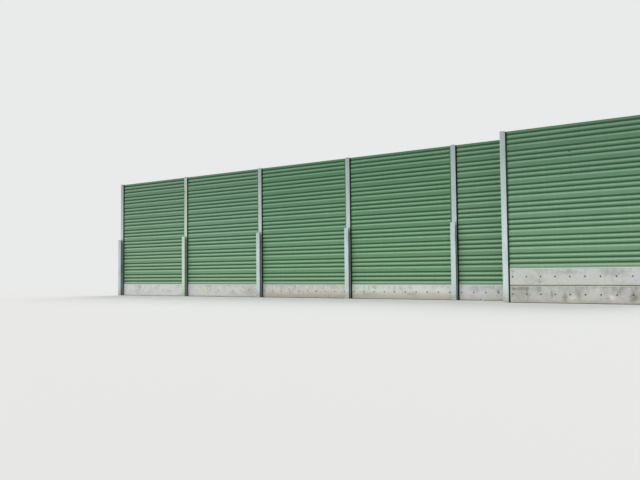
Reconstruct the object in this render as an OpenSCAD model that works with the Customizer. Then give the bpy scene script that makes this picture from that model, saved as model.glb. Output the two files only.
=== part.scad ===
/* [Rows] */
// Distance from post to post along a row
bay_pitch = 4000; // [3000:100:5000]
// Bays of the long rear row
rear_bays = 5; // [2:1:5]
// Distance of the front row's centre line before the rear row's
row_offset = 1100; // [1000:50:2000]
// Distance of the front row's first post to the right of the origin post
front_start = 2000; // [600:50:3400]

/* [Posts] */
// Height of every main post above the ground
post_height = 5030; // [5020:5:5060]
// Depth and width of the main posts' H-section
post_size = 160; // [160:10:180]
// Web thickness of the main posts
post_web = 8; // [7:0.5:9]
// Flange thickness of the main posts
post_flange = 13; // [12:0.5:14]
// Fillet radius between web and flanges
post_fillet = 15; // [12:1:18]
// Height of the shorter section that stiffens each rear post
stiffener_height = 2500; // [1000:100:4000]
// Width of the stiffener's flanges
stiffener_width = 160; // [140:10:160]
// Depth of the stiffener over its flanges
stiffener_depth = 140; // [120:5:160]
// Web thickness of the stiffener
stiffener_web = 7; // [6:0.5:8]
// Flange thickness of the stiffener
stiffener_flange = 12; // [10:0.5:13]
// Fillet radius of the stiffener
stiffener_fillet = 12; // [10:1:15]

/* [Courses] */
// Height of one course, the same for cassettes and plinths
course_height = 500; // [480:5:500]
// Courses from the ground to the top of the barrier
courses = 10; // [10:1:10]
// Plinth courses under the rear row
rear_plinths = 1; // [1:1:1]
// Plinth courses under the front row
front_plinths = 2; // [2:1:2]
// Gap between a post's centre line and the end of a panel or plinth
end_gap = 20; // [15:1:30]

/* [Cassettes] */
// Thickness of a cassette over its flat strips
cassette_depth = 114; // [100:2:118]
// Open joint between two cassettes
cassette_joint = 2; // [1:0.5:4]
// Height of the flat strip below a cassette's lowest groove
foot_strip = 53; // [46:1:56]
// Distance from groove to groove
groove_pitch = 142; // [140:1:144]
// Depth of the grooves behind the flat strips
groove_depth = 28; // [15:1:28]
// Height of the long slope that leads back into a groove
groove_slope = 65; // [50:1:70]
// Height of a groove's floor
groove_floor = 14; // [8:1:20]
// Height of the overhanging flank over the floor
groove_flank = 30; // [20:1:34]
// Width of the tongue on top of a cassette
tongue_width = 56; // [40:2:60]
// Height of the tongue
tongue_height = 14; // [8:1:18]
// Play between a tongue and the groove over it
tongue_play = 3; // [2:0.5:4]

/* [Plinths] */
// Thickness of a plinth
plinth_depth = 120; // [110:2:130]
// Height of the chamfer along a plinth's top edges
plinth_top_chamfer = 30; // [15:1:40]
// Depth of both chamfers behind the plinth's face
plinth_chamfer_depth = 18; // [8:1:25]
// Height of the chamfer along a plinth's bottom edges
plinth_foot_chamfer = 16; // [8:1:25]
// Diameter of the plugged tie holes
tie_diameter = 32; // [24:1:40]
// Depth of the tie holes down to their plugs
tie_depth = 14; // [8:1:20]
// Distance from tie hole to tie hole
tie_pitch = 400; // [350:10:500]
// Radius of the half-round drain notch in the foot of the last rear plinth
drain_radius = 50; // [30:5:60]

/* [Seals] */
// Distance of a seal's inner edge from the post's centre line
seal_start = 25; // [22:1:30]
// Distance of a seal's outer edge from the post's centre line
seal_end = 125; // [90:1:130]

/* [Hidden] */
$fn = 48;
rear_posts = rear_bays + 1;
origin_post = rear_bays;
row_height = courses * course_height;
pocket = post_size - 2 * post_flange;
plank_length = bay_pitch - 2 * end_gap;
tie_count = floor((bay_pitch - tie_pitch) / tie_pitch) + 1;
tie_first = (bay_pitch - (tie_count - 1) * tie_pitch) / 2;
corner_tie_in = 240;
corner_tie_down = 100;
drain_along = 860;
groove_count = 3;
cut = 1;

REAR_POSTS = [for (i = [1 : rear_posts]) str("rear_post_", i)];
REAR_STIFFENERS = [for (i = [1 : rear_posts]) str("rear_stiffener_", i)];
REAR_PLINTHS = [for (i = [1 : rear_bays]) str("rear_plinth_", i)];
REAR_PANELS = [for (i = [1 : rear_bays]) str("rear_panel_", i)];
REAR_SEALS = [for (i = [1 : rear_bays]) str("rear_seals_", i)];
FRONT = ["front_post_1", "front_post_2", "front_plinth_lower", "front_plinth_upper", "front_panel", "front_seals"];

// Centre line of the rear post with this number
function rear_x(i) = (i - origin_post) * bay_pitch;

// Outline of the hollow on one side of an H-section's web, open to the outside
module h_pocket(width, depth, web, flange, fillet) {
    height = depth - 2 * flange;
    translate([web / 2 + fillet, -height / 2]) square([width / 2 - web / 2 - fillet + cut, height]);
    translate([web / 2, -height / 2 + fillet]) square([fillet + cut, height - 2 * fillet]);
    for (side = [-1, 1])
        translate([web / 2 + fillet, side * (height / 2 - fillet)]) circle(r = fillet);
}

// H-section with its web along Y and rolled fillets in the four corners
module h_section(width, depth, web, flange, fillet) {
    difference() {
        square([width, depth], center = true);
        h_pocket(width, depth, web, flange, fillet);
        mirror([1, 0]) h_pocket(width, depth, web, flange, fillet);
    }
}

module post() {
    color("#b6c2c4")
        linear_extrude(post_height)
            h_section(post_size, post_size, post_web, post_flange, post_fillet);
}

// Shorter section set flange to flange on the front of a post
module stiffener() {
    color("#bfcaca")
        translate([0, -(post_size + stiffener_depth) / 2, 0])
            linear_extrude(stiffener_height)
                h_section(stiffener_width, stiffener_depth, stiffener_web, stiffener_flange, stiffener_fillet);
}

// One face of a cassette from its bottom to its top, as [distance behind the strips, height]
function groove_points(z) = [
    [0, z],
    [groove_depth, z + groove_slope],
    [groove_depth, z + groove_slope + groove_floor],
    [0, z + groove_slope + groove_floor + groove_flank]
];
function face_points() = concat(
    [[0, 0]],
    [for (k = [0 : groove_count - 1]) each groove_points(foot_strip + k * groove_pitch)],
    [[0, course_height - cassette_joint]]
);

// Cross-section of a cassette, Y across and Z up
module cassette_section() {
    face = face_points();
    half = cassette_depth / 2;
    top = course_height - cassette_joint;
    front = [for (p = face) [p[0] - half, p[1]]];
    back = [for (k = [len(face) - 1 : -1 : 0]) [half - face[k][0], face[k][1]]];
    difference() {
        union() {
            polygon(concat(front, back));
            translate([-tongue_width / 2, top - cut]) square([tongue_width, tongue_height + cut]);
        }
        translate([-tongue_width / 2 - tongue_play, -cut])
            square([tongue_width + 2 * tongue_play, tongue_height + cut + tongue_play - cassette_joint]);
    }
}

// A bar with its section in the Y-Z plane, running along X from the first post's side of a bay
module along_bay(length) {
    translate([end_gap, 0, 0]) rotate([90, 0, 90]) linear_extrude(length) children();
}

// The cassettes of one bay, from the first course to the last
module panel(first_course) {
    color("#6f9a76")
        for (course = [first_course : courses - 1])
            translate([0, 0, course * course_height]) along_bay(plank_length) cassette_section();
}

// Cross-section of a plinth with chamfered edges
module plinth_section() {
    half = plinth_depth / 2;
    inner = half - plinth_chamfer_depth;
    upper = course_height - plinth_top_chamfer;
    polygon([
        [-inner, 0], [inner, 0], [half, plinth_foot_chamfer], [half, upper],
        [inner, course_height], [-inner, course_height], [-half, upper], [-half, plinth_foot_chamfer]
    ]);
}

// Plugged holes on both faces at one place
module tie_hole(x, z) {
    for (side = [-1, 1])
        translate([x, side * plinth_depth / 2, z])
            rotate([90, 0, 0]) cylinder(h = 2 * tie_depth, d = tie_diameter, center = true);
}

// Half-round passage through a plinth's foot
module drain_notch() {
    translate([drain_along, 0, 0])
        rotate([90, 0, 0]) cylinder(h = plinth_depth + 2 * cut, r = drain_radius, center = true);
}

module plinth(corner_hole = false, drain = false) {
    color("#bfc1bb")
        difference() {
            along_bay(plank_length) plinth_section();
            for (k = [0 : tie_count - 1]) tie_hole(tie_first + k * tie_pitch, course_height / 2);
            if (corner_hole) tie_hole(corner_tie_in, course_height - corner_tie_down);
            if (drain) drain_notch();
        }
}

// Rubber strip between a flange's inner face and the plinths and cassettes behind it
module seal_strip(plinths) {
    plinth_top = plinths * course_height;
    plinth_seal = (pocket - plinth_depth) / 2;
    cassette_seal = (pocket - cassette_depth) / 2;
    translate([seal_start, -pocket / 2, 0]) cube([seal_end - seal_start, plinth_seal, plinth_top]);
    translate([seal_start, -pocket / 2, plinth_top])
        cube([seal_end - seal_start, cassette_seal, row_height - plinth_top]);
}

// The four strips of a bay: at both ends, on both faces
module seals(plinths) {
    color("#1f2422")
        for (face = [0, 1])
            mirror([0, face, 0]) {
                seal_strip(plinths);
                translate([bay_pitch, 0, 0]) mirror([1, 0, 0]) seal_strip(plinths);
            }
}

module in_front() {
    translate([front_start, -row_offset, 0]) children();
}

for (i = [1 : rear_posts])
    translate([rear_x(i), 0, 0]) post();
for (i = [1 : rear_posts])
    translate([rear_x(i), 0, 0]) stiffener();
for (i = [1 : rear_bays])
    translate([rear_x(i), 0, 0]) plinth(drain = i == rear_bays);
for (i = [1 : rear_bays])
    translate([rear_x(i), 0, 0]) panel(rear_plinths);
for (i = [1 : rear_bays])
    translate([rear_x(i), 0, 0]) seals(rear_plinths);
in_front() post();  // front_post_1
in_front() translate([bay_pitch, 0, 0]) post();  // front_post_2
in_front() plinth(corner_hole = true);  // front_plinth_lower
in_front() translate([0, 0, course_height]) plinth(corner_hole = true);  // front_plinth_upper
in_front() panel(front_plinths);  // front_panel
in_front() seals(front_plinths);  // front_seals
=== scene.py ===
# Noise barrier: finish, small parts, floor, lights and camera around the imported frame
import math

import bpy
import numpy as np
from mathutils import Matrix, Vector


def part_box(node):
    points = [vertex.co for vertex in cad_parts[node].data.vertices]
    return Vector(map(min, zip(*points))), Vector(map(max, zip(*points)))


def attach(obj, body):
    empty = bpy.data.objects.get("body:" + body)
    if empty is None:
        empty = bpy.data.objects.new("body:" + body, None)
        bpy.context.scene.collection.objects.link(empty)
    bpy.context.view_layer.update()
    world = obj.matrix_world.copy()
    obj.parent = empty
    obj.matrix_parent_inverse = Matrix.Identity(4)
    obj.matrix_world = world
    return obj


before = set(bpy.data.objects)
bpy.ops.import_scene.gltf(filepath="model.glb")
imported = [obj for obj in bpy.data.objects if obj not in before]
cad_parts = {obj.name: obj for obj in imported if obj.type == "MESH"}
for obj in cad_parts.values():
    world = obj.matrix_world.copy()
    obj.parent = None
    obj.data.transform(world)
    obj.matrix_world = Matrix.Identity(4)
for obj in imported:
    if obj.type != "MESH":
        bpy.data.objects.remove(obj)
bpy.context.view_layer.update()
print("frame loaded:", len(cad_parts), "nodes")


def nodesNamed(start):
    return sorted(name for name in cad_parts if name.startswith(start))


rearPosts = nodesNamed("rear_post_")
rearStiffeners = nodesNamed("rear_stiffener_")
rearPlinths = nodesNamed("rear_plinth_")
rearPanels = nodesNamed("rear_panel_")
rearSeals = nodesNamed("rear_seals_")

rearStart = sum(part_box(rearPosts[0]), Vector()) / 2    # middle of the rear row's first post
frontStart = sum(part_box("front_post_1"), Vector()) / 2
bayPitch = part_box(rearPosts[1])[0].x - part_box(rearPosts[0])[0].x
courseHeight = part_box("front_plinth_lower")[1].z
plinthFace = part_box("front_plinth_lower")[0].y - frontStart.y  # from a row's middle to its plinths' front


# An sRGB hex colour as the linear values that the shaders use
def linear(hexColour):
    parts = np.array([int(hexColour[k:k + 2], 16) for k in (1, 3, 5)]) / 255
    parts = np.where(parts <= 0.04045, parts / 12.92, ((parts + 0.055) / 1.055) ** 2.4)
    return (*parts.tolist(), 1.0)


# Adds one node and returns an output of it: settings are its attributes, inputs are values or outputs
def addNode(tree, kind, settings=None, inputs=None, output=0):
    node = tree.nodes.new("ShaderNode" + kind)
    for key, value in (settings or {}).items():
        setattr(node, key, value)
    for key, value in inputs.items() if isinstance(inputs, dict) else enumerate(inputs or ()):
        if isinstance(value, bpy.types.NodeSocket):
            tree.links.new(value, node.inputs[key])
        else:
            node.inputs[key].default_value = value
    return node.outputs[output] if node.outputs else node


# settings that many nodes share
add = {"operation": "ADD"}
subtract = {"operation": "SUBTRACT"}
multiply = {"operation": "MULTIPLY"}
multiplyAdd = {"operation": "MULTIPLY_ADD"}
clampedAdd = {"operation": "MULTIPLY_ADD", "use_clamp": True}
wrap = {"operation": "FLOORED_MODULO"}
absolute = {"operation": "ABSOLUTE"}
largest = {"operation": "MAXIMUM"}
length = {"operation": "LENGTH"}
smooth = {"interpolation_type": "SMOOTHSTEP"}
colours = {"data_type": "RGBA"}


# Noise whose grains measure the given millimetres along X, Y and Z. Its values lie round a half,
# most of them between 0.3 and 0.7, and so do the limits that the finishes below set on it.
def grain(tree, place, millimetres, detail=3.0, roughness=0.5, seed=0.0):
    scale = [1000 / size for size in millimetres]
    scaled = addNode(tree, "VectorMath", multiplyAdd, (place, scale, (seed, seed, seed)))
    return addNode(
        tree, "TexNoise", None,
        {"Vector": scaled, "Scale": 1.0, "Detail": detail, "Roughness": roughness},
    )


# A share of one colour mixed into another
def mixIn(tree, under, over, share):
    return addNode(tree, "Mix", colours, {0: share, 6: under, 7: linear(over)}, 2)


# A colour over another, by up to a share as a value goes smoothly from low to high
def layOver(tree, under, over, value, low, high, share=1.0):
    much = addNode(tree, "MapRange", smooth, (value, low, high, 0.0, share))
    return mixIn(tree, under, over, much)


# A colour over another in one spot: centre and radii in metres, with an edge that a noise makes ragged
def layMark(tree, under, over, place, noise, centre, radii, share):
    ragged, fading = 2.6, 1.2    # how far the noise moves the edge, and how far it fades, in radii
    away = addNode(tree, "VectorMath", subtract, (place, centre))
    away = addNode(tree, "VectorMath", multiply, (away, [1 / radius for radius in radii]))
    away = addNode(tree, "VectorMath", length, (away,), "Value")
    away = addNode(tree, "Math", multiplyAdd, (noise, ragged, away))
    return layOver(tree, under, over, away, ragged, ragged - fading, share)


# A colour made lighter or darker by a share round one, from a value round a half
def vary(tree, colour, value, amount):
    factor = addNode(tree, "Math", multiplyAdd, (value, 2 * amount, 1 - amount))
    return addNode(tree, "VectorMath", {"operation": "SCALE"}, {0: colour, "Scale": factor})


# How far a place lies to the right of the nearest of many that repeat at one pitch
def fromNearest(tree, value, first, pitch):
    shifted = addNode(tree, "Math", subtract, (value, first - pitch / 2))
    wrapped = addNode(tree, "Math", wrap, (shifted, pitch))
    return addNode(tree, "Math", subtract, (wrapped, pitch / 2))


# A new material with its tree, its surface shader and the place on the object in metres
def startMaterial(name, surface):
    material = bpy.data.materials.new(name)
    material.use_nodes = True
    tree = material.node_tree
    tree.nodes.clear()
    shader = addNode(tree, "BsdfPrincipled", None, surface)
    addNode(tree, "OutputMaterial", None, {"Surface": shader})
    place = addNode(tree, "TexCoord", output="Object")
    return material, tree, shader.node, place


# Two layers of relief, each a height and the millimetres of its whole range
def relief(tree, shader, coarse, coarseMm, fine, fineMm):
    bump = addNode(tree, "Bump", None, {"Height": coarse, "Distance": coarseMm / 1000, "Strength": 1.0})
    bump = addNode(
        tree, "Bump", None,
        {"Height": fine, "Distance": fineMm / 1000, "Strength": 1.0, "Normal": bump},
    )
    tree.links.new(bump, shader.inputs["Normal"])


# Pairs of heights and places run from where a layer starts to where it is full, in metres
greenCoat = {
    "colour": "#55815D",      # the flat strips of the coating at middle height
    "batchVary": 0.035,       # how much lighter or darker a cassette, a streak or a cloud gets
    "streakVary": 0.10,
    "cloudVary": 0.12,
    "faded": "#8D8B95",       # greyer tone of a coat that has faded, more so towards the top
    "fadedHeights": (0.5, 5.0),
    # painted shade with some grime, in the grooves and under the flanks
    "shadedGrime": "#123E21",
    "shadedGrimeOut": 0.012,        # painted shade and grime reach this far from a groove's floor
    "flankShadeShare": 0.5,        # of the bay's painted shade and grime, under the overhanging flanks
    "flankFacing": (-0.2, -0.6),  # how far a face looks down, as the Z of its normal
    "dustShare": 0.68,        # on the slopes
    "slopeFacing": (0.08, 0.42),  # how far a face looks up
    "dustHeights": (12.0, 0.5),
    "allDust": 0.05,          # dust that lies on every face
    "lowDustAndLight": 0.12,          # more dust and painted light towards the foot
    "lowHeights": (4.6, 0.8),
    "farDust": 0.06,          # more dust towards the row's far end
    "farPlaces": (-5.0, -15.0),
    "jointUp": 0.012,         # dust lies round this height over each joint
    "jointBand": (0.062, 0.045),  # up and down from there
    "jointHeights": (4.7, 2.4),
    "film": "#7F9A57",        # thin yellow-green film of algae and pollen on the lower courses
    "filmShare": 0.09,
    "filmHeights": (2.8, 1.2),
    "stripDepth": 0.057,      # from a row's middle to its flat strips
    "grooveDepth": 0.028,
    "roughness": 0.46,
    "cloudRough": 0.15,
    "dustRough": 0.4,
    "streakMm": (45, 45, 1300),
    "cloudMm": (900, 900, 500),
    "peelMm": 3,              # orange peel is about 1 mm, drawn coarser so that it shows
    "peelHighMm": 0.08,
    "dentMm": 320,            # oil-canning of thin sheet
    "dentHighMm": 2.0,
    "scuffDeep": 0.04,        # how far a scuff reaches in behind the strips
    "scuffs": [               # colour, X and Z of the middle, the two radii, share
        ("#2C3A2C", 3.873, 4.241, 0.034, 0.030, 0.95),
        ("#A9B07C", 2.385, 1.722, 0.120, 0.020, 0.5),
    ],
}


# Each bay's own coat: colour of the dusty slopes, how far it has faded, dust round the joints between
# the cassettes, and painted shade with grime in the grooves
bayCoats = {
    "rear_panel_1": {"dusty": "#98B99D", "faded": 0.095, "jointDust": 0.13, "grimeAndShade": 0.76},
    "rear_panel_2": {"dusty": "#96BA9D", "faded": 0.090, "jointDust": 0.15, "grimeAndShade": 0.76},
    "rear_panel_3": {"dusty": "#8FB697", "faded": 0.020, "jointDust": 0.11, "grimeAndShade": 0.71},
    "rear_panel_4": {"dusty": "#90B796", "faded": 0.020, "jointDust": 0.05, "grimeAndShade": 0.71},
    "rear_panel_5": {"dusty": "#94B999", "faded": 0.060, "jointDust": 0.12, "grimeAndShade": 0.67},
    "front_panel": {"dusty": "#90B297", "faded": 0.050, "jointDust": 0.14, "grimeAndShade": 0.70},
}


# Dust on the slopes that face up, and a little on every face: more of it at the row's far end and round
# the joints between the cassettes, and towards the foot dust with painted light that makes the foot lighter
def settledDust(tree, x, z, facing, streaks, coat):
    s = greenCoat
    # dust and painted light, more towards the foot
    thin = addNode(tree, "MapRange", smooth, (z, *s["lowHeights"], s["allDust"], s["lowDustAndLight"]))
    far = addNode(tree, "MapRange", smooth, (x, *s["farPlaces"], 0.0, s["farDust"]))
    thin = addNode(tree, "Math", add, (thin, far))
    joint = fromNearest(tree, z, s["jointUp"], courseHeight)
    joint = addNode(tree, "Math", absolute, (joint,))
    joint = addNode(tree, "MapRange", smooth, (joint, *s["jointBand"], 0.0, 1.0))
    share = addNode(tree, "MapRange", smooth, (z, *s["jointHeights"], 0.0, coat["jointDust"]))
    thin = addNode(tree, "Math", multiplyAdd, (joint, share, thin))

    slope = addNode(tree, "MapRange", smooth, (facing, *s["slopeFacing"], 0.0, 1.0))
    share = addNode(tree, "MapRange", smooth, (z, *s["dustHeights"], 0.0, s["dustShare"]))
    dust = addNode(tree, "Math", add, (streaks, 0.5))
    dust = addNode(tree, "Math", multiply, (dust, slope))
    return addNode(tree, "Math", clampedAdd, (dust, share, thin))


# Powder-coated roll-formed aluminium: satin, a little chalky, dusty on the slopes, with painted groove
# shade
def greenCoatedAluminium(name, start, coat):
    s = greenCoat
    material, tree, shader, place = startMaterial(name, {"IOR": 1.5, "Specular IOR Level": 0.15})
    x, y, z = addNode(tree, "SeparateXYZ", None, (place,)).node.outputs
    normal = addNode(tree, "NewGeometry", output="Normal")
    facing = addNode(tree, "SeparateXYZ", None, (normal,), "Z")
    streaks = grain(tree, place, s["streakMm"], 4.0, 0.6)
    clouds = grain(tree, place, s["cloudMm"], 3.0, 0.55, seed=7.0)

    # each cassette comes from its own batch: a cell is a bay long, a course high and very deep
    size = (bayPitch, 1000.0, courseHeight)
    cell = addNode(tree, "VectorMath", subtract, (place, (start.x, 0.0, 0.0)))
    cell = addNode(tree, "VectorMath", {"operation": "DIVIDE"}, (cell, size))
    cell = addNode(tree, "VectorMath", {"operation": "FLOOR"}, (cell,))
    batch = addNode(tree, "TexWhiteNoise", {"noise_dimensions": "3D"}, {"Vector": cell}, "Value")
    colour = vary(tree, linear(s["colour"])[:3], batch, s["batchVary"])
    colour = vary(tree, colour, streaks, s["streakVary"])
    colour = vary(tree, colour, clouds, s["cloudVary"])

    shares = (0.5 * coat["faded"], 1.5 * coat["faded"])
    faded = addNode(tree, "MapRange", None, (z, *s["fadedHeights"], *shares))
    colour = mixIn(tree, colour, s["faded"], faded)
    dust = settledDust(tree, x, z, facing, streaks, coat)
    colour = mixIn(tree, colour, coat["dusty"], dust)
    colour = layOver(tree, colour, s["film"], z, *s["filmHeights"], s["filmShare"])

    # painted shade: darker towards each groove's floor and on the flanks that face down
    depth = addNode(tree, "Math", subtract, (y, start.y))
    depth = addNode(tree, "Math", absolute, (depth,))
    inner = s["stripDepth"] - s["grooveDepth"]
    colour = layOver(tree, colour, s["shadedGrime"], depth, inner + s["shadedGrimeOut"], inner + 0.001, coat["grimeAndShade"])
    share = coat["grimeAndShade"] * s["flankShadeShare"]
    colour = layOver(tree, colour, s["shadedGrime"], facing, *s["flankFacing"], share)
    for scuff, across, up, wide, high, share in s["scuffs"]:
        centre = (across, frontStart.y - s["stripDepth"], up)
        radii = (wide, s["scuffDeep"], high)
        colour = layMark(tree, colour, scuff, place, streaks, centre, radii, share)
    tree.links.new(colour, shader.inputs["Base Color"])

    rough = addNode(tree, "Math", multiplyAdd, (clouds, s["cloudRough"], s["roughness"]))
    rough = addNode(tree, "Math", multiplyAdd, (dust, s["dustRough"], rough))
    tree.links.new(rough, shader.inputs["Roughness"])
    dents = grain(tree, place, (s["dentMm"],) * 3, 1.0)
    peel = grain(tree, place, (s["peelMm"],) * 3, 2.0)
    relief(tree, shader, dents, s["dentHighMm"], peel, s["peelHighMm"])
    return material


zincCoat = {
    "colour": "#AFBBBC",      # weathered zinc patina
    "dull": "#9BAAA8",        # older, darker patches
    "dullShare": 0.7,
    "high": "#8E9B9A",        # painted shade: darker towards the top
    "topShadeHeights": (1.5, 5.5),
    "topShadeShare": 0.55,
    "streakVary": 0.14,
    "crystalVary": 0.05,
    "greenSide": "#A8B9AF",   # greener tone on the left of a flange
    "greenPlaces": (0.02, -0.08),  # from a post's middle
    "greenShare": 0.5,
    "bloom": "#AFC1AB",       # yellow-green bloom on one post
    "soil": "#A39C88",        # splashed soil at the foot
    "splashTop": 0.42,
    "splashShare": 0.55,
    "speck": "#6F7462",       # mud and moss specks at the foot
    "speckShare": 0.6,
    "hollow": "#4A5B56",      # painted shade between the flanges
    "hollowShare": 0.28,
    "litTop": (0.02, 0.18),  # the painted shade starts below the top, where light gets in
    "flange": 0.0115,         # just under the thinnest flange of the sections
    "flangeEdge": (0.001, 0.012),  # the hollow starts behind the flanges' edges
    "roughness": 0.50,
    "crystalRough": 0.12,
    "soilRough": 0.2,
    "spangleMm": 22,
    "streakMm": (26, 26, 900),
    "streakHighMm": 0.4,
    "patchMm": (260, 260, 600),
    "splashMm": (60, 60, 45),
    "speckMm": (9, 9, 8),
    "pitMm": 6,               # the pits of weathered zinc are finer, drawn coarser so that they show
    "pitHighMm": 0.15,
    "rust": "#6E3526",
    "rustCorner": 0.078,      # from the post's middle to its left front edge
    "rustSpots": [            # height, the radii and the share of a rust spot and of the run below it
        (4.40, (0.042, 0.040, 0.060), 0.95),
        (4.05, (0.040, 0.035, 0.70), 0.35),
    ],
}


# Painted shade between the flanges of one kind of section: inside the flanges' edges, behind their
# inner faces, and below the top, where light gets in
def paintedHollowShade(tree, colour, section, aside, y, z):
    s = zincCoat
    low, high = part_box(section)
    half = (high.x - low.x) / 2
    inner = (high.y - low.y) / 2 - s["flange"]
    depth = addNode(tree, "Math", subtract, (y, (low.y + high.y) / 2))
    depth = addNode(tree, "Math", absolute, (depth,))
    within = addNode(tree, "MapRange", smooth, (depth, inner + 0.002, inner, 0.0, 1.0))
    outer, behind = s["flangeEdge"]
    deep = addNode(tree, "MapRange", smooth, (aside, half - outer, half - behind, 0.0, 1.0))
    within = addNode(tree, "Math", multiply, (within, deep))
    litDepth, shadedDepth = s["litTop"]
    shadedBelowTop = addNode(tree, "MapRange", smooth, (z, high.z - litDepth, high.z - shadedDepth, 0.0, 1.0))
    within = addNode(tree, "Math", multiply, (within, shadedBelowTop))
    return layOver(tree, colour, s["hollow"], within, 0.0, 1.0, s["hollowShare"])


# Hot-dip galvanised section: matt pale grey with faint spangle, runs, dull patches and a soiled foot,
# with painted shade towards the top and between the flanges
def galvanisedSteel(name, first, hollows, bloom=0.0, rusty=False):
    s = zincCoat
    material, tree, shader, place = startMaterial(name, {"Metallic": 0.35})
    x, y, z = addNode(tree, "SeparateXYZ", None, (place,)).node.outputs
    aside = fromNearest(tree, x, first, bayPitch)
    patches = grain(tree, place, s["patchMm"], 4.0, 0.6)
    streaks = grain(tree, place, s["streakMm"], 4.0, 0.6, seed=3.0)
    colour = layOver(tree, linear(s["colour"]), s["dull"], patches, 0.42, 0.68, s["dullShare"])
    # painted shade: the zinc gets darker towards the top
    colour = layOver(tree, colour, s["high"], z, *s["topShadeHeights"], s["topShadeShare"])
    colour = vary(tree, colour, streaks, s["streakVary"])
    spangle = addNode(
        tree, "TexVoronoi", None, {"Vector": place, "Scale": 1000 / s["spangleMm"]}, "Color"
    )
    crystal = addNode(tree, "SeparateXYZ", None, (spangle,), "X")
    colour = vary(tree, colour, crystal, s["crystalVary"])
    colour = layOver(tree, colour, s["greenSide"], aside, *s["greenPlaces"], s["greenShare"])
    if bloom:
        colour = layOver(tree, colour, s["bloom"], streaks, 0.1, 0.5, bloom)

    # the foot, soiled up to a ragged height, with specks that thin out above it
    splash = grain(tree, place, s["splashMm"], 6.0, 0.7, seed=11.0)
    wet = addNode(tree, "Math", multiplyAdd, (z, -0.5 / s["splashTop"], splash))
    colour = layOver(tree, colour, s["soil"], wet, 0.14, 0.42, s["splashShare"])
    specks = grain(tree, place, s["speckMm"], 3.0, 0.6, seed=19.0)
    specks = addNode(tree, "Math", multiplyAdd, (z, -0.25, specks))
    colour = layOver(tree, colour, s["speck"], specks, 0.50, 0.66, s["speckShare"])

    aside = addNode(tree, "Math", absolute, (aside,))
    # painted shade between the flanges of the post and of its stiffener
    for section in hollows:
        colour = paintedHollowShade(tree, colour, section, aside, y, z)
    if rusty:
        for up, radii, share in s["rustSpots"]:
            corner = (first + bayPitch - s["rustCorner"], rearStart.y - s["rustCorner"], up)
            colour = layMark(tree, colour, s["rust"], place, splash, corner, radii, share)
    tree.links.new(colour, shader.inputs["Base Color"])

    rough = addNode(tree, "Math", multiplyAdd, (crystal, s["crystalRough"], s["roughness"]))
    soiled = addNode(tree, "MapRange", smooth, (wet, 0.14, 0.42, 0.0, s["soilRough"]))
    rough = addNode(tree, "Math", add, (rough, soiled))
    tree.links.new(rough, shader.inputs["Roughness"])
    pits = grain(tree, place, (s["pitMm"],) * 3)
    relief(tree, shader, streaks, s["streakHighMm"], pits, s["pitHighMm"])
    return material


tieHoles = {
    "count": 10,
    "pitch": 0.40,
    "fromEnd": 0.18,          # first hole from the plinth's end
    "cornerFromEnd": 0.22,
    "cornerDown": 0.10,
    "radius": 0.0155,
    "sunk": 0.011,            # rim of a plug behind the plinth's face
    "flush": 0.003,           # the same where a hole is filled up
    "dome": 0.0025,
    "rooted": 0.0135,         # back of a plug behind the plinth's face
    "rings": (1, 1, 0.8, 0.55, 0.3, 0.02),  # shares of the radius, from the back to the dome's middle
    "sides": 16,
    "leftOpen": (3, 4, 6, 8),  # the far two plinths have all others filled up
}


concreteCast = {
    "damp": "#9D9F9B",        # damp and dirty clouds
    "blotch": "#8E8570",      # soft brown blotches
    "stain": "#7D7968",       # brown-green stain that hangs under a top edge
    "lime": "#D5D3C9",        # lime bloom in spots
    "speck": "#5C5347",       # specks of mud and moss
    "joint": "#3F3C36",       # dirt round a tie hole, and painted shade in the joint and on what faces down
    "soil": "#9C917E",        # splashed soil
    "arris": 0.470,           # height of the edge under the top chamfer
    "hangFrom": 0.12,         # height at which the hanging stains end
    "lineDown": 0.006,        # middle of the dark line under the arris, and half its height
    "lineHalf": 0.007,
    "lineShare": 0.9,
    "litChamferUp": (0.001, 0.004),  # paler chamfer over the arris, washed and a painted highlight
    "jointShadeDown": (0.018, 0.008),  # painted shade in the joint starts below the top
    "underShadeShare": 0.85,       # painted shade on what faces down
    "underFacing": (-0.1, -0.5),
    "markDeep": 0.05,         # how far a single stain reaches in behind the face
    "ringReach": (0.044, 0.028),  # ring of dirt from a tie hole's middle, outer to inner
    "ringRagged": 0.022,
    "ringDrawn": 0.8,         # below the hole a distance counts for this share, so the ring hangs
    "splashTop": 0.10,
    "soiledHeights": (0.42, 0.16),
    "tintMm": (1500, 1500, 900),
    "cloudMm": (420, 420, 260),
    "mottleMm": (75, 75, 75),
    "mottleHighMm": 1.0,
    "streakMm": (110, 110, 520),
    "patchMm": (380, 380, 380),
    "speckMm": (55, 55, 70),
    "limeMm": (130, 130, 80),
    "splashMm": (70, 70, 40),
    "poreMm": 16,             # blow holes of 3 to 8 mm, this far apart
    "poreDeepMm": 3.0,
}

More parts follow.
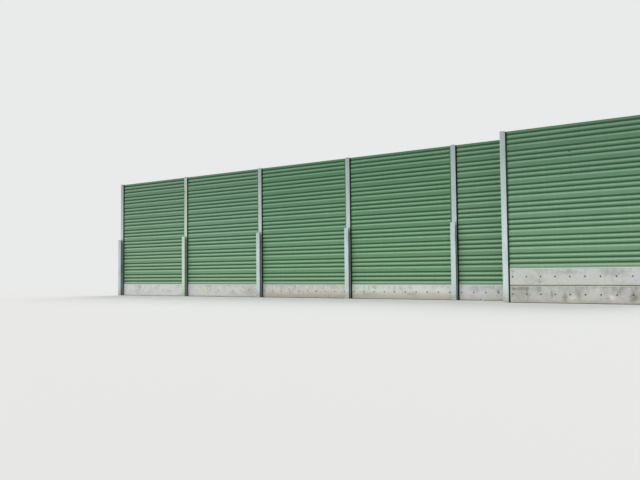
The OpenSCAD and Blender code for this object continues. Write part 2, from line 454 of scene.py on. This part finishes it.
# Single stains on the plinths: colour, X and Z of the middle, the two radii, share
frontStains = [
    ("#85826F", 2.40, 0.24, 0.42, 0.26, 0.46),
    ("#85826F", 5.60, 0.24, 0.40, 0.26, 0.42),
    ("#C4C5C1", 4.50, 0.33, 0.55, 0.18, 0.45),
    ("#6F6E60", 2.45, 0.40, 0.42, 0.055, 0.50),
    ("#66665C", 3.30, 0.26, 0.045, 0.16, 0.55),
    ("#5F6055", 3.66, 0.18, 0.085, 0.15, 0.60),
    ("#72736A", 4.02, 0.27, 0.085, 0.20, 0.45),
    ("#5B6048", 5.42, 0.17, 0.16, 0.12, 0.60),
    ("#D3D0C4", 3.86, 0.18, 0.12, 0.10, 0.55),
    ("#D6D4C8", 4.87, 0.16, 0.09, 0.09, 0.65),
    ("#D8D6CA", 4.49, 0.39, 0.05, 0.03, 0.60),
    ("#8F938F", 3.70, 0.88, 0.40, 0.07, 0.50),
    ("#8F918E", 4.95, 0.82, 0.26, 0.11, 0.50),
    ("#868A84", 2.98, 0.60, 0.06, 0.05, 0.50),
]
rearStains = [
    ("#8C8470", -8.55, 0.18, 0.42, 0.26, 0.40),
    ("#8B7A5C", -1.51, 0.16, 0.22, 0.08, 0.45),
    ("#D9D2BF", -2.11, 0.13, 0.20, 0.09, 0.60),
    ("#8C8A7E", 1.18, 0.41, 0.20, 0.06, 0.35),
    ("#8A8672", -3.20, 0.15, 0.50, 0.10, 0.35),
    ("#4C4A40", 1.40, 0.29, 0.045, 0.045, 0.55),
]


# Each plinth's own casting: two tints, the paler top edge (washed, and a painted highlight), lightness,
# stains under the top edge, mud, splashed soil, a soiled lower half, and dirt round the tie holes
plinthCasts = {
    "rear_plinth_1": {
        "tints": ("#C6C7C9", "#C6C8C6"), "edge": "#E6E9DF", "level": 1.11,
        "hung": 0.05, "muddy": 0.0, "foot": 0.15, "low": 0.12, "ring": 0.25,
    },
    "rear_plinth_2": {
        "tints": ("#C6C7C9", "#C6CBC0"), "edge": "#DEE2D5", "level": 1.02,
        "hung": 0.12, "muddy": 0.12, "foot": 0.25, "low": 0.10, "ring": 0.3,
    },
    "rear_plinth_3": {
        "tints": ("#C6C8C8", "#C7C9BF"), "edge": "#E0DFCF", "level": 1.05,
        "hung": 0.35, "muddy": 1.2, "foot": 0.5, "low": 0.50, "ring": 0.5,
    },
    "rear_plinth_4": {
        "tints": ("#C9CDC8", "#C5CFC3"), "edge": "#E2E6D8", "level": 1.06,
        "hung": 0.25, "muddy": 0.25, "foot": 0.3, "low": 0.60, "ring": 0.7,
    },
    "rear_plinth_5": {
        "tints": ("#C6C7C9", "#C3C8C0"), "edge": "#DADCD0", "level": 1.04,
        "hung": 0.12, "muddy": 0.12, "foot": 0.25, "low": 0.28, "ring": 0.7,
    },
    "front_plinth_upper": {
        "tints": ("#C6C7C9", "#C3C8C0"), "edge": "#D6D8C8", "level": 0.90,
        "hung": 0.25, "muddy": 0.15, "foot": 0.0, "low": 0.0, "ring": 0.7,
    },
    "front_plinth_lower": {
        "tints": ("#C6C7C9", "#C3C8C0"), "edge": "#D7D5BB", "level": 0.83,
        "hung": 0.9, "muddy": 0.9, "foot": 0.5, "low": 0.0, "ring": 0.7,
    },
}


# Stains that hang under the arris, a dark line along it, the chamfer over it, paler as washed and as a
# painted highlight, and painted shade in the joint
def stainedEdge(tree, colour, place, up, cast):
    s = concreteCast
    arris, hung = s["arris"], cast["hung"]
    streaks = grain(tree, place, s["streakMm"], 5.0, 0.6, seed=17.0)
    hang = addNode(tree, "MapRange", smooth, (up, s["hangFrom"], arris, 0.0, 0.14))
    hang = addNode(tree, "Math", add, (hang, streaks))
    hang = addNode(tree, "MapRange", smooth, (hang, 0.56, 0.78, 0.0, 1.0))
    line = addNode(tree, "Math", {"operation": "COMPARE"}, (up, arris - s["lineDown"], s["lineHalf"]))
    hang = addNode(tree, "Math", clampedAdd, (line, s["lineShare"], hang))
    below = addNode(tree, "MapRange", smooth, (up, arris + 0.008, arris, 0.0, 1.0))
    hang = addNode(tree, "Math", multiply, (hang, below))
    colour = layOver(tree, colour, s["stain"], hang, 0.0, 1.0, 0.22 + 0.42 * hung)
    # the chamfer paler: washed, and a painted highlight where it faces up
    low, high = s["litChamferUp"]
    colour = layOver(tree, colour, cast["edge"], up, arris + low, arris + high, 0.7 - 0.4 * hung)
    # painted shade in the joint at the top of each course
    low, high = s["jointShadeDown"]
    return layOver(tree, colour, s["joint"], up, courseHeight - low, courseHeight - high, 0.8 * hung)


# Lime bloom, and specks of mud and moss that gather in patches
def scatteredSpots(tree, colour, place, cast):
    s = concreteCast
    lime = grain(tree, place, s["limeMm"], 3.0, seed=31.0)
    colour = layOver(tree, colour, s["lime"], lime, 0.54, 0.76, 0.45 * cast["hung"])
    patches = grain(tree, place, s["patchMm"], 2.0, seed=29.0)
    patches = addNode(tree, "MapRange", smooth, (patches, 0.35, 0.60, 0.0, 1.0))
    specks = grain(tree, place, s["speckMm"], 6.0, 0.65, seed=37.0)
    least = 0.68 - 0.1 * cast["muddy"]
    specks = addNode(tree, "MapRange", smooth, (specks, least, least + 0.08, 0.0, 1.0))
    specks = addNode(tree, "Math", multiply, (specks, patches))
    return layOver(tree, colour, s["speck"], specks, 0.0, 1.0, min(0.1 + 0.5 * cast["muddy"], 0.6))


# A ragged ring of dirt round each tie hole at middle height, hanging a little
def tieHoleDirt(tree, colour, x, up, noise, share):
    s = concreteCast
    pitch = tieHoles["pitch"]
    aside = fromNearest(tree, x, rearStart.x + pitch / 2, pitch)
    above = addNode(tree, "Math", subtract, (up, courseHeight / 2))
    below = addNode(tree, "Math", multiply, (above, -s["ringDrawn"]))
    upright = addNode(tree, "Math", largest, (above, below))
    away = addNode(tree, "CombineXYZ", None, (aside, upright))
    away = addNode(tree, "VectorMath", length, (away,), "Value")
    away = addNode(tree, "Math", multiplyAdd, (noise, s["ringRagged"], away))
    return layOver(tree, colour, s["joint"], away, *s["ringReach"], share)


# One inside a blow hole and nothing outside: round pits in some of the cells of a Voronoi pattern
def blowHoles(tree, place):
    scale = 1000 / concreteCast["poreMm"]
    pores = addNode(tree, "TexVoronoi", None, {"Vector": place, "Scale": scale}).node.outputs
    pick = addNode(tree, "SeparateXYZ", None, (pores["Color"],), "X")
    radius = addNode(tree, "MapRange", smooth, (pick, 0.55, 1.0, 0.0, 0.26))
    hole = addNode(tree, "Math", subtract, (radius, pores["Distance"]))
    return addNode(tree, "MapRange", smooth, (hole, 0.0, 0.06, 0.0, 1.0))


# Fair-faced precast concrete: pale and cloudy with blow holes, dark round its tie holes, stained under the
# top edge, speckled with mud as far as its cast says, and with painted shade on what faces down
def precastConcrete(name, cast, row, stains):
    s = concreteCast
    muddy = cast["muddy"]
    material, tree, shader, place = startMaterial(name, {"Roughness": 0.85, "IOR": 1.5})
    x, _, z = addNode(tree, "SeparateXYZ", None, (place,)).node.outputs
    normal = addNode(tree, "NewGeometry", output="Normal")
    facing = addNode(tree, "SeparateXYZ", None, (normal,), "Z")
    up = addNode(tree, "Math", wrap, (z, courseHeight))  # height within the course

    tint = grain(tree, place, s["tintMm"], 2.0)
    colour = layOver(tree, linear(cast["tints"][0]), cast["tints"][1], tint, 0.4, 0.6)
    colour = vary(tree, colour, cast["level"] / 2, 1.0)
    clouds = grain(tree, place, s["cloudMm"], 5.0, 0.6, seed=2.0)
    colour = layOver(tree, colour, s["damp"], clouds, 0.46, 0.74, 0.45 + 0.3 * cast["hung"])
    mottle = grain(tree, place, s["mottleMm"], 6.0, 0.65, seed=5.0)
    colour = vary(tree, colour, mottle, 0.10 + 0.25 * muddy)
    colour = layOver(tree, colour, s["blotch"], mottle, 0.50, 0.64, 0.45 * muddy ** 2)
    colour = stainedEdge(tree, colour, place, up, cast)
    colour = scatteredSpots(tree, colour, place, cast)
    for stain, across, high, wide, tall, share in stains:
        centre = (across, row.y + plinthFace, high)
        radii = (wide, s["markDeep"], tall)
        colour = layMark(tree, colour, stain, place, mottle, centre, radii, share)

    # splashed soil up to a ragged height, higher where it is muddy, and the soiled lower half
    splash = grain(tree, place, s["splashMm"], 6.0, 0.7, seed=23.0)
    wet = addNode(tree, "Math", multiplyAdd, (z, -0.5 / (s["splashTop"] * (1 + muddy)), splash))
    colour = layOver(tree, colour, s["soil"], wet, 0.12, 0.40, cast["foot"])
    risen = addNode(tree, "Math", multiplyAdd, (clouds, 0.2, z))
    colour = layOver(tree, colour, s["soil"], risen, *s["soiledHeights"], cast["low"])
    colour = tieHoleDirt(tree, colour, x, up, splash, cast["ring"])
    # painted shade on the faces that look down
    colour = layOver(tree, colour, s["joint"], facing, *s["underFacing"], s["underShadeShare"])

    hole = blowHoles(tree, place)
    colour = layOver(tree, colour, s["speck"], hole, 0.0, 1.0, 0.55)
    tree.links.new(colour, shader.inputs["Base Color"])
    solid = addNode(tree, "Math", subtract, (1.0, hole))
    relief(tree, shader, mottle, s["mottleHighMm"], solid, s["poreDeepMm"])
    return material


sealStrip = {
    "black": "#0D1612",
    "pale": "#22352A",        # the front row's strips
    "dust": "#343D35",
    "dustShare": 0.3,
    "dustMm": (60, 60, 240),
    "dustHighMm": 0.3,
    "film": "#5F8265",        # painted light: the panels' green on the strips at a bay's right end
    "filmShare": 0.8,
    "poreMm": 4,              # the moulded skin's own grain is finer, drawn coarser so that it shows
    "poreDeepMm": 0.1,
}


# EPDM sealing strip: matt black with a breath of dust, and on one side of each post a painted light
def sealRubber(name, base, start):
    s = sealStrip
    material, tree, shader, place = startMaterial(name, {"Roughness": 0.8, "Specular IOR Level": 0.15})
    x = addNode(tree, "SeparateXYZ", None, (place,), "X")
    aside = fromNearest(tree, x, start.x, bayPitch)
    dust = grain(tree, place, s["dustMm"], 4.0)
    colour = layOver(tree, linear(base), s["dust"], dust, 0.45, 0.75, s["dustShare"])
    # painted light: the strips at a bay's right end in the panels' green
    colour = layOver(tree, colour, s["film"], aside, 0.01, -0.01, s["filmShare"])
    tree.links.new(colour, shader.inputs["Base Color"])
    pores = grain(tree, place, (s["poreMm"],) * 3, 2.0)
    relief(tree, shader, dust, s["dustHighMm"], pores, s["poreDeepMm"])
    return material


plugMortar = {
    "dark": ("#2E2D2A", "#4A4843"),   # two tones each: dirt and painted shade, in the holes left open,
    "brown": ("#877D6D", "#A09686"),  # in the front plinth's filled corner hole,
    "pale": ("#A3A19A", "#BBB9B2"),   # and in the far plinths' filled holes
    "gritMm": 5,              # sand of 1 to 4 mm, drawn a little coarser so that it shows
    "gritHighMm": 1.0,
    "lumpMm": 14,
    "lumpHighMm": 1.5,
}


# Cement mortar pressed into the tie holes: rough, with sand grains
def cementMortar(name, tones):
    s = plugMortar
    material, tree, shader, place = startMaterial(name, {"Roughness": 0.95, "IOR": 1.5})
    grit = grain(tree, place, (s["gritMm"],) * 3, 4.0, 0.7)
    colour = layOver(tree, linear(tones[0]), tones[1], grit, 0.35, 0.7)
    tree.links.new(colour, shader.inputs["Base Color"])
    lumps = grain(tree, place, (s["lumpMm"],) * 3, 2.0)
    relief(tree, shader, lumps, s["lumpHighMm"], grit, s["gritHighMm"])
    return material


rearHollows = (rearPosts[0], rearStiffeners[0])
materials = {
    "zinc": galvanisedSteel("galvanised steel", rearStart.x, rearHollows),
    "zinc front": galvanisedSteel("galvanised steel front", frontStart.x, ()),
    "zinc bloom": galvanisedSteel("galvanised steel with bloom", rearStart.x, rearHollows, 0.8, True),
    "rubber": sealRubber("EPDM rubber", sealStrip["black"], rearStart),
    "rubber front": sealRubber("EPDM rubber front", sealStrip["pale"], frontStart),
    "mortar": cementMortar("plug mortar", plugMortar["dark"]),
    "mortar brown": cementMortar("brown plug mortar", plugMortar["brown"]),
    "mortar pale": cementMortar("pale plug mortar", plugMortar["pale"]),
}
for panel, coat in bayCoats.items():
    row = rearStart if panel in rearPanels else frontStart
    materials[panel] = greenCoatedAluminium("green powder coat " + panel, row, coat)
for plinth, cast in plinthCasts.items():
    row, stains = (rearStart, rearStains) if plinth in rearPlinths else (frontStart, frontStains)
    materials[plinth] = precastConcrete("precast concrete " + plinth, cast, row, stains)
print("materials made:", len(materials))


def finishNodes(names, material):
    for name in names:
        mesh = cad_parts[name].data
        mesh.materials.clear()
        mesh.materials.append(materials[material])


for node in [*bayCoats, *plinthCasts]:
    finishNodes([node], node)
finishNodes(rearPosts + rearStiffeners, "zinc")
finishNodes([rearPosts[1], rearStiffeners[1]], "zinc bloom")
finishNodes(["front_post_1", "front_post_2"], "zinc front")
finishNodes(rearSeals, "rubber")
finishNodes(["front_seals"], "rubber front")
print("frame nodes finished")


# A mesh from grids of points. Seen from outside, a grid's first parameter runs up and its second
# to the right. A solid's second parameter closes on itself, and faces fill the first one's ends.
def surfaceObject(name, grids, material, solid=False):
    points, faces, start = [], [], 0
    for grid in grids:
        rows, columns = grid.shape[:2]
        index = start + np.arange(rows * columns).reshape(rows, columns)
        across = np.concatenate([index, index[:, :1]], 1) if solid else index
        quads = np.stack([across[:-1, :-1], across[:-1, 1:], across[1:, 1:], across[1:, :-1]], -1)
        faces += quads.reshape(-1, 4).tolist()
        if solid:
            faces += [index[0, ::-1].tolist(), index[-1].tolist()]
        points.append(grid.reshape(-1, 3))
        start += rows * columns
    mesh = bpy.data.meshes.new(name)
    mesh.from_pydata(np.concatenate(points).tolist(), [], faces)
    mesh.polygons.foreach_set("use_smooth", np.ones(len(mesh.polygons), bool))
    mesh.materials.append(material)
    mesh.update()
    piece = bpy.data.objects.new(name, mesh)
    bpy.context.scene.collection.objects.link(piece)
    return piece


weldBead = {
    "length": 0.12,
    "pitch": 0.40,
    "first": 0.06,            # height at which the lowest run starts
    "halfWidth": 0.007,       # to both sides of the seam
    "proud": 0.003,           # over the flanges' edges
    "rooted": 0.001,          # into the flanges
    "ripple": 0.006,          # from scale to scale of the weld
    "rippleShare": 0.06,      # how much a scale swells the run
    "rings": 60,
    "sides": 9,
}


# Runs of weld over the seam where a stiffener's flange lies flush on its post's flange.
# Along the run: the root of 1 less the sixth power of the way from its middle, times (1 + a small
# ripple); across: a flat half-round, cos and sin of an angle times how far it stands proud and its
# half width.
def weldRuns(post, stiffener):
    s = weldBead
    low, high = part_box(stiffener)
    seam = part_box(post)[0].y
    along = np.linspace(0, 1, s["rings"])[:, None]
    turn = np.linspace(-math.pi / 2, math.pi / 2, s["sides"])[None, :]
    ripple = np.cos(2 * math.pi * along * s["length"] / s["ripple"])
    swell = np.sqrt(np.clip(1 - (2 * along - 1) ** 6, 0.02, 1)) * (1 + s["rippleShare"] * ripple)
    grids = []
    for side, edge in ((-1, low.x), (1, high.x)):
        for foot in np.arange(s["first"], high.z - s["length"], s["pitch"]):
            across = edge + side * s["proud"] * swell * np.cos(turn)
            out = seam + side * s["halfWidth"] * swell * np.sin(turn)
            up = foot + s["length"] * along
            run = np.stack([across, out, up + 0 * turn], -1)
            root = np.stack([edge - side * s["rooted"] + 0 * along, seam + 0 * along, up], -1)
            grids.append(np.concatenate([run, root], 1))
    return grids


for post, stiffener in zip(rearPosts, rearStiffeners):
    welds = surfaceObject("welds_" + stiffener, weldRuns(post, stiffener), materials["zinc"], True)
    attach(welds, "root")
print("welds made")


# Middles of a plinth's mid-height tie holes, as X and Z
def middleHoles(node):
    s = tieHoles
    low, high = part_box(node)
    return [(low.x + s["fromEnd"] + k * s["pitch"], (low.z + high.z) / 2) for k in range(s["count"])]


# Middle of the hole in a plinth's upper left corner
def cornerHole(node):
    low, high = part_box(node)
    return [(low.x + tieHoles["cornerFromEnd"], high.z - tieHoles["cornerDown"])]


# Mortar plugs on both faces, short cylinders with a domed front: radius and angle give a point,
# and the front stands out by the dome times 1 less the share of the radius squared
def plugGrids(node, places, sunk):
    s = tieHoles
    low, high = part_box(node)
    share = np.array(s["rings"])[:, None]
    depth = sunk - s["dome"] * (1 - share ** 2)
    depth[0] = s["rooted"]
    angle = np.linspace(0, 2 * math.pi, s["sides"], endpoint=False)[None, :]
    grids = []
    for side, face in ((-1, low.y), (1, high.y)):
        for middleX, middleZ in places:
            across = middleX - side * s["radius"] * share * np.cos(angle)
            up = middleZ + s["radius"] * share * np.sin(angle)
            out = face - side * depth + 0 * angle
            grids.append(np.stack([across, out, up], -1))
    return grids


def tiePlugs(name, grids, material):
    plugs = surfaceObject(name, grids, materials[material], True)
    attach(plugs, "root")


# the open holes' plugs are dark with dirt and painted shade
darkPlugs, palePlugs = [], []
for node in rearPlinths:
    for number, hole in enumerate(middleHoles(node)):
        if node in rearPlinths[:2] and number not in tieHoles["leftOpen"]:
            palePlugs += plugGrids(node, [hole], tieHoles["flush"])
        else:
            darkPlugs += plugGrids(node, [hole], tieHoles["sunk"])
tiePlugs("tie_plugs_rear", darkPlugs, "mortar")
tiePlugs("tie_plugs_rear_filled", palePlugs, "mortar pale")

frontPlugs = plugGrids("front_plinth_upper", middleHoles("front_plinth_upper"), tieHoles["sunk"])
lowerPlaces = middleHoles("front_plinth_lower") + cornerHole("front_plinth_lower")
frontPlugs += plugGrids("front_plinth_lower", lowerPlaces, tieHoles["sunk"])
filledPlugs = plugGrids("front_plinth_upper", cornerHole("front_plinth_upper"), tieHoles["flush"])
tiePlugs("tie_plugs_front", frontPlugs, "mortar")
tiePlugs("tie_plugs_front_filled", filledPlugs, "mortar brown")
print("tie plugs made")


studio = {
    "floorRadius": 160.0,
    "floorLevel": -0.002,
    "floorPale": "#E6E6E3",   # what the camera sees of the floor near the barrier
    "floorBounce": "#6E6A63",  # what the floor throws back on the barrier, darker than it looks
    "backdrop": "#E9EAEA",
    "fade": (16.0, 60.0),     # from the origin, where the floor turns into the backdrop
    "ambient": "#F2F6FF",     # soft light from all round
    "ambientStrength": 0.20,
    "keyStrength": 1.80,
    "keyElevation": 54.5,
    "keyAzimuth": -45,        # the key light comes from the left of the front
    "backStrength": 1.3,
    "backElevation": 55,
    "softness": 50,           # of the key and the back light, in degrees
    "stripPower": 1300,
    "stripSize": (44, 1.5),
    "stripHeight": 1.2,
    "stripTilt": 84,          # degrees from straight down
    "stripMiddle": (-3.0, -0.5),  # X and Y between the two strips
    "stripAway": 7.8,         # in front of it and behind it
}


# One for what the camera sees straight, mirrored or through glass, nothing for light on its way
def seenRays(tree):
    path = addNode(tree, "LightPath").node.outputs
    seen = addNode(tree, "Math", largest, (path["Is Camera Ray"], path["Is Glossy Ray"]))
    return addNode(tree, "Math", largest, (seen, path["Is Transmission Ray"]))


# Flat floor under the barrier: both parameters run over the plane, which stays at one height
def studioFloor():
    s = studio
    reach = np.linspace(-s["floorRadius"], s["floorRadius"], 9)
    across, along = np.meshgrid(reach, reach)
    plane = np.stack([across, along, s["floorLevel"] + 0 * across], -1)
    material, tree, shader, place = startMaterial("studio floor", {"Roughness": 0.9})
    seen = seenRays(tree)
    colour = layOver(tree, linear(s["floorBounce"]), s["floorPale"], seen, 0.0, 1.0)
    tree.links.new(colour, shader.inputs["Base Color"])
    far = addNode(tree, "VectorMath", length, (place,), "Value")
    fade = addNode(tree, "MapRange", smooth, (far, *s["fade"], 0.0, 1.0))
    fade = addNode(tree, "Math", multiply, (fade, seen))
    glow = addNode(tree, "Emission", None, {"Color": linear(s["backdrop"]), "Strength": 1.0})
    blend = addNode(tree, "MixShader", None, (fade, shader.outputs[0], glow))
    tree.links.new(blend, tree.nodes["Material Output"].inputs["Surface"])
    floor = surfaceObject("studio_floor", [plane], material)
    return floor


# The world lights softly all round, and shows the pale backdrop to the camera and in reflections
def studioWorld():
    s = studio
    world = bpy.data.worlds.new("studio")
    bpy.context.scene.world = world
    world.use_nodes = True
    tree = world.node_tree
    tree.nodes.clear()
    soft = {"Color": linear(s["ambient"]), "Strength": s["ambientStrength"]}
    light = addNode(tree, "Background", None, soft)
    shown = addNode(tree, "Background", None, {"Color": linear(s["backdrop"]), "Strength": 1.0})
    blend = addNode(tree, "MixShader", None, (seenRays(tree), light, shown))
    addNode(tree, "OutputWorld", None, {"Surface": blend})


def addLamp(name, kind, turn, place=(0, 0, 0), **settings):
    lamp = bpy.data.lights.new(name, kind)
    for key, value in settings.items():
        setattr(lamp, key, value)
    holder = bpy.data.objects.new(name, lamp)
    holder.rotation_euler = turn
    holder.location = place
    bpy.context.scene.collection.objects.link(holder)
    return holder


# A soft sun in front and one behind, and on each side a long strip that doesn't light the floor
def studioLamps(floor):
    s = studio
    soft = math.radians(s["softness"])
    key = (math.radians(90 - s["keyElevation"]), 0, math.radians(s["keyAzimuth"]))
    back = (math.radians(90 - s["backElevation"]), 0, math.radians(180))
    addLamp("key", "SUN", key, energy=s["keyStrength"], angle=soft)
    addLamp("back", "SUN", back, energy=s["backStrength"], angle=soft)
    spared = bpy.data.collections.new("not lit by the strips")
    spared.objects.link(floor)
    spared.collection_objects[0].light_linking.link_state = "EXCLUDE"
    middleX, middleY = s["stripMiddle"]
    for name, side in (("front strip", -1), ("back strip", 1)):
        turn = (math.radians(s["stripTilt"]), 0, 0 if side < 0 else math.pi)
        place = (middleX, middleY + side * s["stripAway"], s["stripHeight"])
        strip = addLamp(name, "AREA", turn, place, shape="RECTANGLE", size=s["stripSize"][0],
                        size_y=s["stripSize"][1], energy=s["stripPower"])
        strip.light_linking.receiver_collection = spared


studioWorld()
studioLamps(studioFloor())
print("studio made")


# Pinhole camera worked out from the picture: lines of the barrier over a 640 x 480 frame
viewpoint = {
    "frameWidth": 640,
    "focalPixels": 671.4,
    "place": (8.339, -20.497, 0.918),
    "yaw": 0.5857,            # radians to the left of straight at the barrier
    "pitch": 0.0489,
    "roll": -0.0102,
    "clipEnd": 500,
}


def addCamera():
    s = viewpoint
    yaw, pitch, roll = s["yaw"], s["pitch"], s["roll"]
    ahead = Vector((-math.sin(yaw) * math.cos(pitch), math.cos(yaw) * math.cos(pitch), math.sin(pitch)))
    level = Vector((math.cos(yaw), math.sin(yaw), 0))
    over = level.cross(ahead)
    right = level * math.cos(roll) + over * math.sin(roll)
    up = over * math.cos(roll) - level * math.sin(roll)
    data = bpy.data.cameras.new("camera")
    data.sensor_fit = "HORIZONTAL"
    data.lens = data.sensor_width * s["focalPixels"] / s["frameWidth"]
    data.clip_end = s["clipEnd"]
    camera = bpy.data.objects.new("camera", data)
    turned = Matrix((right, up, -ahead)).transposed().to_4x4()
    camera.matrix_world = Matrix.Translation(s["place"]) @ turned
    bpy.context.scene.collection.objects.link(camera)
    bpy.context.scene.camera = camera


addCamera()
bpy.context.scene.view_settings.view_transform = "Standard"
print("camera placed")
